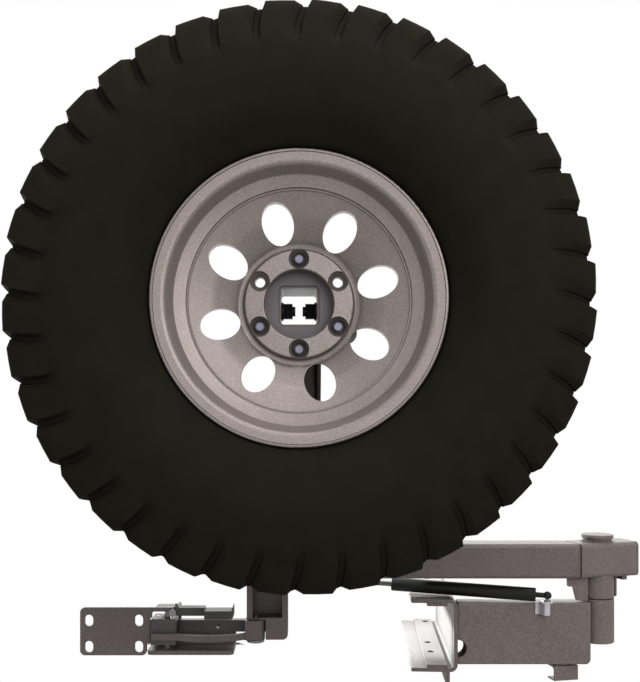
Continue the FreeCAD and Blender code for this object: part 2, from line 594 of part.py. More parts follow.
# ---------------------------------------------------------------- strut mount behind the arm
CX, CY, CZ = STRUT_BALL_HIGH
arm_bracket = plate("strut_arm_plate", "XY_Plane", -475.4, 6.3, [
    (CX - 24, 266, 3), (CX + 24, 266, 3), (CX + 15, CY + 14, 10), (CX - 15, CY + 14, 10)])
arm_hole = cylinder("strut_arm_hole", 3.45, 20, (CX, CY, -480))
node("strut_arm_bracket", cut("strut_arm_bracket", arm_bracket, [arm_hole]))
node("strut_ball_upper", place(ball_stud("strut_ball_upper", True), CX, CY, CZ))

# ---------------------------------------------------------------- gas strut
flat = V(CX - BX, CY - BY, 0)
STRUT_YAW = math.degrees(math.atan2(flat.y, flat.x))
STRUT_PITCH = -math.degrees(math.atan2(CZ - BZ, flat.Length))
STRUT_LENGTH = (STRUT_BALL_HIGH - STRUT_BALL_LOW).Length
TR, TB, RR = D["strut_tube_dia"] / 2, D["strut_tube_bore"] / 2, D["strut_rod_dia"] / 2
strut_tube = turned("strut_tube", [
    (20.5, 4.8), (20.5, TR, 2), (286.1, TR, 1), (286.1, TB), (27, TB), (27, 4.8)],
    "XY_Plane", "H_Axis")
node("strut_tube", place(strut_tube, BX, BY, BZ, STRUT_YAW, STRUT_PITCH))


def socket(name, neck_from, neck_to, open_down):
    """Ball socket at zero with a neck along X, hollow for the ball and open to its stud."""
    outer = doc.addObject("Part::Sphere", name + "_shell")
    bind(outer, Radius=dims("socket_dia", 0.5))
    neck = cylinder(name + "_neck", 4.7, neck_to - neck_from, (neck_from, 0, 0), "X")
    whole = fuse(name, [outer, neck])
    hollow = doc.addObject("Part::Sphere", name + "_hollow")
    bind(hollow, Radius=dims("ball_dia", 0.5, 0.1))
    mouth = doc.addObject("Part::Cone", name + "_mouth")
    if open_down:
        bind(mouth, Radius1=8.0, Radius2=4.2, Height=9.0)
        mouth.Placement.Base = V(0, 0, -9.5)
    else:
        bind(mouth, Radius1=4.2, Radius2=8.0, Height=9.0)
        mouth.Placement.Base = V(0, 0, 0.5)
    return cut(name, whole, [hollow, mouth])


node("strut_end_lower", place(socket("strut_end_lower", 5.0, 27.0, True),
                              BX, BY, BZ, STRUT_YAW, STRUT_PITCH))
back_yaw = STRUT_YAW + 180.0
node("strut_end_upper", place(socket("strut_end_upper", 5.0, 16.0, False),
                              CX, CY, CZ, back_yaw, -STRUT_PITCH))
rod = turned("strut_rod", [
    (16.2, 0), (16.2, RR), (D["strut_rod_length"], RR, 1), (D["strut_rod_length"], 0)],
    "XY_Plane", "H_Axis")
node("strut_rod", place(rod, CX, CY, CZ, back_yaw, -STRUT_PITCH))

# ---------------------------------------------------------------- wheel
HB = D["wheel_bore_dia"] / 2
wheel, sk = body_sketch("wheel", "XY_Plane")
outline(sk, [
    (HB, 27, 1), (HB, 0, 2), (83.3, 0, 2), (86.5, 12, 3), (94, 11, 6), (130, -16, 60),
    (166.5, -34.4, 0.5), (166.8, -37, 0.5), (169.5, -37, 0.5), (170, -41.5, 0.5),
    (187.6, -47.5, 1), (189.5, -50.5, 1), (199, -69.6, 9), (215, -71.3, 0.3),
    (215.6, -70.3, 0.2), (216.2, -72, 0.5), (220.3, -72, 2), (220.3, -65.5, 2), (206, -61, 5), (202.6, -54, 3),
    (201.5, -30, 5), (181, -13, 8), (181, 42, 8), (201.5, 62, 8), (203, 136, 3), (206, 143, 4),
    (220.3, 147.5, 2), (220.3, 154, 2), (214, 154, 2), (197, 144, 6), (195.5, 66, 8),
    (174.5, 45, 8), (173.5, -2, 10), (158, -16, 10), (102, 22, 5), (98, 27, 2)])
spin(wheel, sk)
sk = add_sketch(wheel, "wheel_windows", "XZ_Plane")
for k in range(8):
    a = math.radians(15 + 45 * k)
    ux, uz = math.cos(a), math.sin(a)

    def at(radial, side):
        return V(ux * radial - uz * side, uz * radial + ux * side, 0)
    sk.addGeometry(Part.Ellipse(at(155.2, 0), at(125, 24.3), at(125, 0)), False)
window_cut = pocket(wheel, sk, 100.0)
window_cut.Midplane = True
sk = add_sketch(wheel, "wheel_lug_holes", "XZ_Plane")
LUG_AT = (90.0, 30.0, -30.0, -90.0, -150.0, 150.0)
for angle in LUG_AT:
    circle(sk, polar(LR, angle)[0], polar(LR, angle)[1], dims("lug_hole_dia", 0.5))
lug_cut = pocket(wheel, sk, 100.0)
lug_cut.Midplane = True
seats = []
for i, angle in enumerate(LUG_AT):
    sx, sz = polar(LR, angle)
    seat = turned("wheel_lug_seat_%d" % i, [
        (0, -1), (16.2, -1), (15.6, 1), (14.6, 6), (8.6, 13), (0, 13)], "XY_Plane")
    seats.append(place(seat, sx, 0, sz))
node("wheel", cut("wheel_drilled", wheel, seats))

# ---------------------------------------------------------------- tyre
TYR = D["tyre_dia"] / 2
tyre_body = turned("tyre_body", [
    (221.5, -68, 1), (240, -86, 8), (268, -106, 20), (312, -115, 40), (352, -111, 30),
    (394, -99, 20), (424, -88, 8), (TYR - 3, -74, 6), (TYR, -58, 6),
    (TYR, 4, 1), (TYR - 12, 8, 1), (TYR - 12, 16, 1), (TYR, 20, 1),
    (TYR, 62, 1), (TYR - 12, 66, 1), (TYR - 12, 74, 1), (TYR, 78, 1),
    (TYR, 140, 6), (TYR - 3, 156, 6), (424, 170, 8), (394, 181, 20), (352, 193, 30),
    (312, 197, 40), (268, 188, 20), (240, 168, 8), (221.5, 150, 1), (221.3, 146, 0),
    (207.2, 142.1, 2), (204, 134.5, 1), (204, 122, 3), (220, 122, 4), (232, 142, 8),
    (262, 166, 20), (312, 178, 40), (350, 174, 30), (392, 158, 20), (412, 132, 20),
    (412, -50, 20), (392, -77, 20), (350, -92, 30), (312, -96, 40), (262, -84, 20),
    (232, -60, 8), (220, -40, 4), (204, -40, 3), (204, -53, 1), (207.2, -60.1, 2),
    (221.3, -64.5, 0)], "XY_Plane")
gaps = []
COUNT = int(D["lug_count"])
for k in range(COUNT):
    for side, (low, high) in enumerate(((-130.0, -40.0), (122.0, 212.0))):
        gap = doc.addObject("Part::Box", "tyre_gap_%d_%d" % (k, side))
        bind(gap, Length=30.0, Width=high - low, Height=11.0)
        angle = 360.0 / COUNT * (k + 0.5 * side) + 7.6
        turn_gap = FreeCAD.Rotation(V(0, 1, 0), -angle)
        gap.Placement = FreeCAD.Placement(turn_gap.multVec(V(TYR - 12, low, -5.5)), turn_gap)
        gaps.append(gap)
all_gaps = doc.addObject("Part::Compound", "tyre_gaps")
all_gaps.Links = gaps
node("tyre", cut("tyre", tyre_body, [all_gaps]))

# ---------------------------------------------------------------- check and export
doc.recompute()
for obj in doc.Objects:
    if "Invalid" in obj.State or "Error" in obj.State:
        raise RuntimeError("%s is %s" % (obj.Name, obj.State))
for label, obj in NODES.items():
    shape = obj.Shape
    if shape.isNull() or not shape.isValid() or not shape.Solids:
        raise RuntimeError("%s has no valid solid" % label)
    shape.exportStep("parts/%s.step" % label)
    print("%-24s %d solid(s) %.0f mm3" % (label, len(shape.Solids), shape.Volume))
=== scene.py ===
"""Spare tyre carrier: the finishes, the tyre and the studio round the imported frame. Metres."""

import json
import logging
import math
from dataclasses import dataclass, field
from enum import Enum

import bmesh
import bpy
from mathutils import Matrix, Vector

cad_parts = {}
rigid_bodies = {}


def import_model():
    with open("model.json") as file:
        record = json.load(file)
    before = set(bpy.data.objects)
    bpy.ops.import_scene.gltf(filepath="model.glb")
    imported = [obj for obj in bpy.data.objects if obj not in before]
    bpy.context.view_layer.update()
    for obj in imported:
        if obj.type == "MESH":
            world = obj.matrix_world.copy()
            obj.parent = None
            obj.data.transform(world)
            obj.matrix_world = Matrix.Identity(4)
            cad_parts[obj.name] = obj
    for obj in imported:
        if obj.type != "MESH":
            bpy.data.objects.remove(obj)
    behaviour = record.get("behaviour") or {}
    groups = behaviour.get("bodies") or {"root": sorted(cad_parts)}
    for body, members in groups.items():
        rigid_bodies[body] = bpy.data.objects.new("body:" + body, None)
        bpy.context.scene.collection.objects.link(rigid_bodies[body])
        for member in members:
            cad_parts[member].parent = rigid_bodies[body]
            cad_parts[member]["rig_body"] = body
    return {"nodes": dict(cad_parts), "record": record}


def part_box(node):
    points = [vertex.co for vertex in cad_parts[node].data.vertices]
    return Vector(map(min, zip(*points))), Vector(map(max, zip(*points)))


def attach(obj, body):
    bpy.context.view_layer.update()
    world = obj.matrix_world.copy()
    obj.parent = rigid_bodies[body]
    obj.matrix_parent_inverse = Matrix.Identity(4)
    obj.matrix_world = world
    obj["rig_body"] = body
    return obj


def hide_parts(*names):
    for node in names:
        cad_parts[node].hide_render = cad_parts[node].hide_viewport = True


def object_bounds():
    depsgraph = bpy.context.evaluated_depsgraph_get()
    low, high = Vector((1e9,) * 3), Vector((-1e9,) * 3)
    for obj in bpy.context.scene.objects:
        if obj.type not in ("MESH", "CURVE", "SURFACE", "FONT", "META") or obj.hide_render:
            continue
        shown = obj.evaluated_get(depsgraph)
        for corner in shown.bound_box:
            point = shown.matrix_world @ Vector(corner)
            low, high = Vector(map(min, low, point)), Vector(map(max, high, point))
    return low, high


MM = 0.001
# Edges: faces this many degrees apart stay sharp on turned parts, on plates and on the tyre.
SHARP_TURNED_DEG = 30.0
SHARP_PLATE_DEG = 38.0
SHARP_TYRE_DEG = 28.0
# Plates: edges sharper than this are broken, and flatter ones than the last are merged.
BROKEN_EDGE_DEG = 40.0
FLAT_EDGE_DEG = 0.6
WELD_MM = 0.002
# The span of a finish's noise over which it turns from its dark colour to its light one.
NOISE_DARK, NOISE_LIGHT = 0.36, 0.64
log = logging.getLogger("tyre_carrier")

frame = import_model()
cad_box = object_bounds()


def srgb(code: str) -> tuple[float, float, float, float]:
    """Turn an sRGB hex colour to linear.

    Args:
        code: the colour as "#rrggbb".

    Returns:
        Linear red, green, blue and an alpha of 1.
    """
    parts = [int(code[i:i + 2], 16) / 255 for i in (1, 3, 5)]
    linear = [c / 12.92 if c <= 0.04045 else ((c + 0.055) / 1.055) ** 2.4 for c in parts]
    return (*linear, 1.0)


def add_node(tree: bpy.types.NodeTree, kind: str,
             links: dict[str | int, bpy.types.NodeSocket] | None = None,
             **settings: object) -> bpy.types.Node:
    """Add one shader node with its settings and incoming links.

    Args:
        tree: the material's node tree.
        kind: the node's type name.
        links: input socket names or numbers, each with the output socket that feeds it.
        settings: node properties, or input values by socket name with "_" for a space.

    Returns:
        The new node.
    """
    made = tree.nodes.new(kind)
    for key, value in settings.items():
        socket = key.replace("_", " ")
        if socket in made.inputs:
            made.inputs[socket].default_value = value
        else:
            setattr(made, key, value)
    for name, source in (links or {}).items():
        tree.links.new(source, made.inputs[name])
    return made


@dataclass(frozen=True)
class Finish:
    """A surface finish: two close colours over a grain, with gloss, relief and painted shade in
    corners.

    The grain and cloud sizes are the real sizes of the speckle and of the broad patches. The
    crevice shade is painted shade: how much darker the colour is painted where walls stand
    closer than its reach in mm, as if shade fell there.
    """

    name: str
    light: str
    dark: str
    metallic: float = 0.0
    roughness: tuple[float, float] = (0.4, 0.5)
    grain_mm: float = 1.0
    cloud_mm: float = 60.0
    relief_mm: float = 0.05
    cloud_share: float = 0.4
    specular: float = 0.5
    # Painted shade: how much darker the colour is painted in corners, and how far that reaches.
    painted_crevice_shade: float = 0.35
    painted_shade_reach_mm: float = 14.0

    def material(self) -> bpy.types.Material:
        """Build the finish as a node material, once.

        Returns:
            The material, shared by every piece with this finish.
        """
        ready = bpy.data.materials.get(self.name)
        if ready:
            return ready
        made = bpy.data.materials.new(self.name)
        made.use_nodes = True
        tree = made.node_tree
        tree.nodes.clear()
        place = add_node(tree, "ShaderNodeTexCoord")
        grain = add_node(tree, "ShaderNodeTexNoise", {"Vector": place.outputs["Object"]},
                         Scale=1 / (self.grain_mm * MM), Detail=3.0, Roughness=0.6)
        cloud = add_node(tree, "ShaderNodeTexNoise", {"Vector": place.outputs["Object"]},
                         Scale=1 / (self.cloud_mm * MM), Detail=4.0, Roughness=0.55)
        blend = add_node(tree, "ShaderNodeMix", {"A": grain.outputs["Fac"], "B": cloud.outputs["Fac"]},
                         data_type="FLOAT", Factor=self.cloud_share)
        tint = add_node(tree, "ShaderNodeValToRGB", {"Fac": blend.outputs["Result"]})
        tint.color_ramp.elements[0].position = NOISE_DARK
        tint.color_ramp.elements[0].color = srgb(self.dark)
        tint.color_ramp.elements[1].position = NOISE_LIGHT
        tint.color_ramp.elements[1].color = srgb(self.light)
        # Painted shade: the colour is darkened where other surfaces stand close, as shade would fall
        # in hollows.
        corner = add_node(tree, "ShaderNodeAmbientOcclusion", samples=6,
                          Distance=self.painted_shade_reach_mm * MM)
        shade = add_node(tree, "ShaderNodeMapRange", {"Value": corner.outputs["AO"]},
                         From_Min=0.25, From_Max=0.95, To_Min=1.0 - self.painted_crevice_shade, To_Max=1.0)
        colour = add_node(tree, "ShaderNodeVectorMath", {0: tint.outputs["Color"],
                                                         1: shade.outputs["Result"]},
                          operation="MULTIPLY")
        gloss = add_node(tree, "ShaderNodeMapRange", {"Value": blend.outputs["Result"]},
                         From_Min=0.3, From_Max=0.7, To_Min=self.roughness[0],
                         To_Max=self.roughness[1])
        bump = add_node(tree, "ShaderNodeBump", {"Height": grain.outputs["Fac"]},
                        Strength=1.0, Distance=self.relief_mm * MM)
        shader = add_node(tree, "ShaderNodeBsdfPrincipled",
                          {"Base Color": colour.outputs["Vector"],
                           "Roughness": gloss.outputs["Result"],
                           "Normal": bump.outputs["Normal"]},
                          Metallic=self.metallic, Specular_IOR_Level=self.specular)
        add_node(tree, "ShaderNodeOutputMaterial", {"Surface": shader.outputs["BSDF"]})
        return made


# Textured polyester powder coat, sprayed and baked: an even warm charcoal with a fine orange peel.
POWDER_COAT = Finish("powder_coat_charcoal", "#756866", "#564a49", roughness=(0.36, 0.5),
                     grain_mm=2.4, relief_mm=0.16, cloud_share=0.15)
# The same coat on the pivot's weldments, painted a shade lighter as painted light: they stand on the
# brighter-lit side.
POWDER_COAT_PAINTED_LIGHTER = Finish("powder_coat_painted_lighter", "#7d706d", "#5e5350", roughness=(0.36, 0.5),
                          grain_mm=2.4, relief_mm=0.16, cloud_share=0.15)
# Cast alloy wheel under satin metallic paint: soft broad gloss and a fine metal flake.
# Its dish, pockets and hollows get strong, far-reaching painted shade.
WHEEL_PAINT = Finish("satin_wheel_paint", "#a29794", "#827873", metallic=0.5,
                     roughness=(0.38, 0.48), grain_mm=1.8, relief_mm=0.03, cloud_share=0.15,
                     painted_crevice_shade=0.7, painted_shade_reach_mm=34.0)
# Moulded tyre rubber: nearly black, dull, with the faint brown of the mould release.
# Its grooves and the gaps between lugs get strong painted shade.
TYRE_RUBBER = Finish("moulded_tyre_rubber", "#1f1d15", "#16150f", roughness=(0.75, 0.9),
                     grain_mm=1.1, cloud_mm=40.0, relief_mm=0.08, specular=0.06, painted_crevice_shade=0.75,
                     painted_shade_reach_mm=22.0)
# Bright zinc plate, passivated: pinkish white with cloudy patches.
ZINC_PLATE = Finish("bright_zinc_plate", "#e9e1e8", "#c3b9c5", metallic=0.75,
                    roughness=(0.28, 0.4), grain_mm=2.2, cloud_mm=18.0, relief_mm=0.02)
# Dull catch steel: bare bar stock gone grey-green, with a low shine.
CATCH_STEEL = Finish("dull_catch_steel", "#535451", "#3e403d", metallic=0.4,
                     roughness=(0.42, 0.55), grain_mm=0.9, relief_mm=0.04)
# The latch's sliding steel: the charcoal painted darker, as painted shade on the dimmer-lit latch
# side; smoother than the coat beside it.
LATCH_STEEL_PAINTED_DARKER = Finish("latch_steel_painted_darker", "#605a5a", "#484344", metallic=0.2,
                      roughness=(0.36, 0.48), grain_mm=1.6, relief_mm=0.05)
# Turned and ground steel: neutral grey, fine rings left by the tool.
TURNED_STEEL = Finish("turned_steel", "#a9a6ab", "#85828a", metallic=1.0,
                      roughness=(0.25, 0.4), grain_mm=0.8, relief_mm=0.02)
# Black oxide on fasteners: oily blue-black with a dull shine.
BLACK_OXIDE = Finish("black_oxide_steel", "#2a2a2d", "#19191b", metallic=0.35,
                     roughness=(0.4, 0.55), grain_mm=0.8, relief_mm=0.04)
# Sintered bronze bush: warm brown-yellow, slightly porous.
BRONZE = Finish("sintered_bronze", "#b08a4e", "#8a6836", metallic=1.0,
                roughness=(0.35, 0.5), grain_mm=0.6, relief_mm=0.04)
# Stoved black enamel on the drawn strut tube: smooth and nearly matt.
STRUT_ENAMEL = Finish("black_strut_enamel", "#1c1a19", "#141312", roughness=(0.4, 0.5),
                      grain_mm=2.5, relief_mm=0.015, specular=0.3)
# Nitrided piston rod: ground to a dark bright grey.
PISTON_ROD = Finish("ground_piston_rod", "#8b847e", "#6b645e", metallic=1.0,
                    roughness=(0.16, 0.26), grain_mm=0.5, relief_mm=0.01)
# Moulded rubber and nylon trim: matt black.
TRIM_RUBBER = Finish("moulded_trim_rubber", "#262523", "#1b1a18", roughness=(0.55, 0.7),
                     grain_mm=0.8, relief_mm=0.05)
# Stud ends as rolled and washed: light blue-grey.
STUD_STEEL = Finish("rolled_stud_steel", "#8f90a2", "#747588", metallic=0.6,
                    roughness=(0.4, 0.55), grain_mm=0.8, relief_mm=0.03)
# Hot-rolled hub plate under a thin coat: dark with a violet cast.
HUB_PLATE_COAT = Finish("hub_plate_coat", "#6c6669", "#524c50", roughness=(0.4, 0.52),
                        grain_mm=1.6, relief_mm=0.08)

SLOT_FINISH = {
    "powder_coat": POWDER_COAT,
    "steel": TURNED_STEEL,
    "zinc": ZINC_PLATE,
    "black_steel": BLACK_OXIDE,
    "bronze": BRONZE,
    "strut_black": STRUT_ENAMEL,
    "rod_chrome": PISTON_ROD,
    "wheel_alloy": WHEEL_PAINT,
    "tyre_rubber": TYRE_RUBBER,
    "rubber_trim": TRIM_RUBBER,
}
NODE_SLOT = {part["node"]: part["material_slot"] for part in frame["record"]["subparts"]}


def split_sharp(mesh: bpy.types.Mesh, degrees: float) -> None:
    """Shade a mesh smooth, except over edges sharper than an angle.

    Args:
        mesh: the mesh to shade.
        degrees: the angle between faces from which an edge stays sharp.
    """
    work = bmesh.new()
    work.from_mesh(mesh)
    limit = math.radians(degrees)
    for face in work.faces:
        face.smooth = True
    for edge in work.edges:
        edge.smooth = len(edge.link_faces) != 2 or edge.calc_face_angle(0.0) < limit
    work.to_mesh(mesh)
    work.free()


def baked(piece: bpy.types.Object) -> bpy.types.Object:
    """Apply a piece's modifiers to its mesh.

    Args:
        piece: the object with modifiers.

    Returns:
        The same object, with none left.
    """
    bpy.context.view_layer.update()
    final = bpy.data.meshes.new_from_object(
        piece.evaluated_get(bpy.context.evaluated_depsgraph_get()))
    piece.modifiers.clear()
    piece.data = final
    return piece


def new_piece(name: str, mesh: bpy.types.Mesh, finish: Finish) -> bpy.types.Object:
    """Put a mesh in the scene with a finish.

    Args:
        name: the piece's name.
        mesh: its mesh.
        finish: its surface finish.

    Returns:
        The new object.
    """
    piece = bpy.data.objects.new(name, mesh)
    bpy.context.scene.collection.objects.link(piece)
    piece.data.materials.clear()
    piece.data.materials.append(finish.material())
    return piece


def rounded(node: str, finish: Finish, width_mm: float) -> bpy.types.Object:
    """Stand a copy of a CAD part, with its edges broken as a deburring pass leaves them, for it.

    Args:
        node: the CAD part's name.
        finish: its surface finish.
        width_mm: the width of the broken edge.

    Returns:
        The new piece, riding where the part rides.
    """
    source = frame["nodes"][node]
    mesh = source.data.copy()
    work = bmesh.new()
    work.from_mesh(mesh)
    bmesh.ops.remove_doubles(work, verts=work.verts, dist=WELD_MM * MM)
    bmesh.ops.dissolve_limit(work, angle_limit=math.radians(FLAT_EDGE_DEG), verts=work.verts,
                             edges=work.edges)
    work.to_mesh(mesh)
    work.free()
    piece = new_piece(f"{node}_piece", mesh, finish)
    bevel = piece.modifiers.new("broken_edges", "BEVEL")
    bevel.width = width_mm * MM
    bevel.segments = 2
    bevel.limit_method = "ANGLE"
    bevel.angle_limit = math.radians(BROKEN_EDGE_DEG)
    bevel.use_clamp_overlap = False
    baked(piece)
    split_sharp(piece.data, SHARP_PLATE_DEG)
    even = piece.modifiers.new("flat_faces_stay_flat", "WEIGHTED_NORMAL")
    even.keep_sharp = True
    even.weight = 100
    baked(piece)
    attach(piece, source["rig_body"])
    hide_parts(node)
    return piece


@dataclass
class SubAssembly:
    """A group of CAD parts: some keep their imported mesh, the rest get broken edges."""

    title: str
    plates: tuple[str, ...] = ()
    turned: tuple[str, ...] = ()
    edge_mm: float = 0.7
    special: dict[str, Finish] = field(default_factory=dict)

    def finish_of(self, node: str) -> Finish:
        """Choose the finish of a part, its own or its slot's.

        Args:
            node: the CAD part's name.

        Returns:
            The finish.
        """
        return self.special.get(node, SLOT_FINISH[NODE_SLOT[node]])

    def dress(self) -> None:
        """Give every part of the group its finish and its edges."""
        for node in self.plates:
            rounded(node, self.finish_of(node), self.edge_mm)
        for node in self.turned:
            data = frame["nodes"][node].data
            data.materials.clear()
            data.materials.append(self.finish_of(node).material())
            split_sharp(data, SHARP_TURNED_DEG)
        log.info("%s: %d parts with broken edges, %d turned", self.title,
                 len(self.plates), len(self.turned))


class Row(Enum):
    """The rows of lugs across the tread, and what lies between them."""

    SIDE = "sidewall"
    FRONT = "front shoulder"
    BLOCK = "tread block"
    REAR = "rear shoulder"
    CHANNEL = "channel round the tread"


@dataclass
class Tyre:
    """The mud-terrain tyre: one closed skin, with its lugs cut by a lattice of turns and rows."""

    lugs: int = 40
    first_notch_deg: float = 7.06
    lug_depth: float = 10.3 * MM
    channel_depth: float = 11.0 * MM
    half_pitch: float = 0.5
    hub: Vector = field(default_factory=lambda: wheel_hub())

    # A lug along its pitch of 9 degrees: (degrees, height as a share of the lug's depth).
    SHOULDER_LUG = ((0.0, 0.0), (1.15, 0.0), (1.2, 0.22), (1.5, 0.3), (2.8, 0.84), (5.6, 0.93),
                    (8.36, 1.03), (8.7, 0.5), (8.98, 0.02))
    BLOCK_LUG = ((0.0, 0.0), (1.15, 0.0), (1.2, 0.93), (1.5, 1.0), (2.8, 1.0), (5.6, 1.0),
                 (8.36, 1.0), (8.7, 0.97), (8.98, 0.02))

    def section(self) -> list[tuple[float, float, Row, float, float]]:
        """List the skin's stations from the front bead to the rear bead and back inside.

        Returns:
            Radius and depth in mm, the row, the share of the groove's depth and the turn of
            the groove in degrees, for each station.
        """
        front = [(221.5, -66.5), (224, -72), (231, -79), (240, -86), (253, -97), (268, -105),
                 (288, -111.5), (312, -114.5), (334, -114), (352, -111.5)]
        shoulder = [(364, -109.5, 0.0, 2.05), (370, -108, 0.22, 2.0), (380, -105.5, 0.55, 1.9),
                    (392, -102, 0.8, 1.68), (404, -98, 0.92, 1.3), (414, -94.5, 1.0, 0.9),
                    (424, -90, 1.0, 0.45), (431, -85, 1.0, 0.15), (435, -79, 1.0, 0.0),
                    (436.4, -72, 1.0, 0.0), (437, -60, 1.0, 0.3), (437, -32, 1.0, 1.0)]
        middle = 41.0
        stations = [(r, y, Row.SIDE, 0.0, 2.05) for r, y in front]
        stations += [(r, y, Row.FRONT, share, turn) for r, y, share, turn in shoulder]
        blocks = ((-22.0, 14.0, 5.4, 3.0), (22.0, 60.0, 0.6, 3.2), (68.0, 104.0, 5.0, 7.4))
        edge = -32.0
        for low, high, turn_low, turn_high in blocks:
            stations.append((436.9, edge + 0.6, Row.CHANNEL, 1.0, turn_low))
            stations.append((436.9, low - 0.6, Row.CHANNEL, 1.0, turn_low))
            for step in range(4):
                share = step / 3
                stations.append((437.3, low + (high - low) * share, Row.BLOCK, 0.9,
                                 turn_low + (turn_high - turn_low) * share))
            edge = high
        stations.append((436.9, edge + 0.6, Row.CHANNEL, 1.0, 4.5))
        stations.append((436.9, 113.4, Row.CHANNEL, 1.0, 4.5))
        offset = self.half_pitch * 9.0
        stations += [(r, 2 * middle - y, Row.REAR, share, offset + 1.0 - turn * 0.9)
                     for r, y, share, turn in reversed(shoulder)]
        last = stations[-1][4]
        stations += [(r, 2 * middle - y, Row.SIDE, 0.0, last) for r, y in reversed(front)]
        inner = [(207.5, 142.5), (204.5, 134), (205, 122), (222, 122), (240, 150), (270, 170),
                 (312, 178), (350, 174), (392, 158), (412, 132), (412, 41), (412, -50),
                 (392, -77), (350, -92), (312, -96), (270, -88), (240, -68), (222, -40),
                 (205, -40), (204.5, -53), (207.5, -60.5)]
        count = len(inner)
        stations += [(r, y, Row.SIDE, 0.0, last + (2.05 - last) * (i + 1) / (count + 1))
                     for i, (r, y) in enumerate(inner)]
        return stations

    def height(self, row: Row, step: int) -> float:
        """Give the lug's height at a step of its pitch.

        Args:
            row: the row of the tread.
            step: the step along the lug's pitch.

        Returns:
            The height as a share of the groove's depth.
        """
        if row is Row.SIDE:
            return 1.0
        if row is Row.CHANNEL:
            return 0.0
        lug = self.BLOCK_LUG if row is Row.BLOCK else self.SHOULDER_LUG
        return lug[step][1]

    def build(self) -> bpy.types.Object:
        """Build the tyre and stand it for the CAD tyre.

        Returns:
            The tyre, riding on the swing arm.
        """
        stations = self.section()
        steps = len(self.SHOULDER_LUG)
        turns = self.lugs * steps
        pitch = 360.0 / self.lugs
        inward = self.inward_normals(stations)
        work = bmesh.new()
        rings = []
        for (r, y, row, share, turn), (nr, ny) in zip(stations, inward):
            depth = self.channel_depth if row is Row.CHANNEL else self.lug_depth
            ring = []
            for i in range(turns):
                step = i % steps
                degrees = (i // steps) * pitch + self.SHOULDER_LUG[step][0] * pitch / 9.0
                cut = depth * share * (1.0 - self.height(row, step))
                radius = r * MM + nr * cut
                angle = math.radians(90.0 + self.first_notch_deg + degrees + turn)
                ring.append(work.verts.new((self.hub.x + radius * math.cos(angle),
                                            self.hub.y + y * MM + ny * cut,
                                            self.hub.z + radius * math.sin(angle))))
            rings.append(ring)
        for near, far in zip(rings, rings[1:] + rings[:1]):
            for i in range(turns):
                j = (i + 1) % turns
                work.faces.new((near[i], near[j], far[j], far[i]))
        bmesh.ops.recalc_face_normals(work, faces=work.faces)
        mesh = bpy.data.meshes.new("tyre_skin")
        work.to_mesh(mesh)
        work.free()
        piece = new_piece("tyre_moulded", mesh, TYRE_RUBBER)
        split_sharp(mesh, SHARP_TYRE_DEG)
        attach(piece, "swing_arm")
        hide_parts("tyre")
        log.info("tyre: %d lugs a side, %d faces", self.lugs, len(mesh.polygons))
        return piece

    @staticmethod
    def inward_normals(stations: list[tuple[float, float, Row, float, float]]
                       ) -> list[tuple[float, float]]:
        """Find the direction into the rubber at each station.

        Args:
            stations: the skin's stations.

        Returns:
            A unit pair (radial, along the axle) for each station.
        """
        normals = []
        for i in range(len(stations)):
            before, after = stations[i - 1], stations[(i + 1) % len(stations)]
            dr, dy = after[0] - before[0], after[1] - before[1]
            length = math.hypot(dr, dy)
            normals.append((-dy / length, dr / length))
        return normals


def wheel_hub() -> Vector:
    """Find the wheel's centre at the front of its lug ring, from the CAD wheel's box.

    Returns:
        The point, in metres.
    """
    low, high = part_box("wheel")
    lip_to_ring = 72.0 * MM
    return Vector(((low.x + high.x) / 2, low.y + lip_to_ring, (low.z + high.z) / 2))


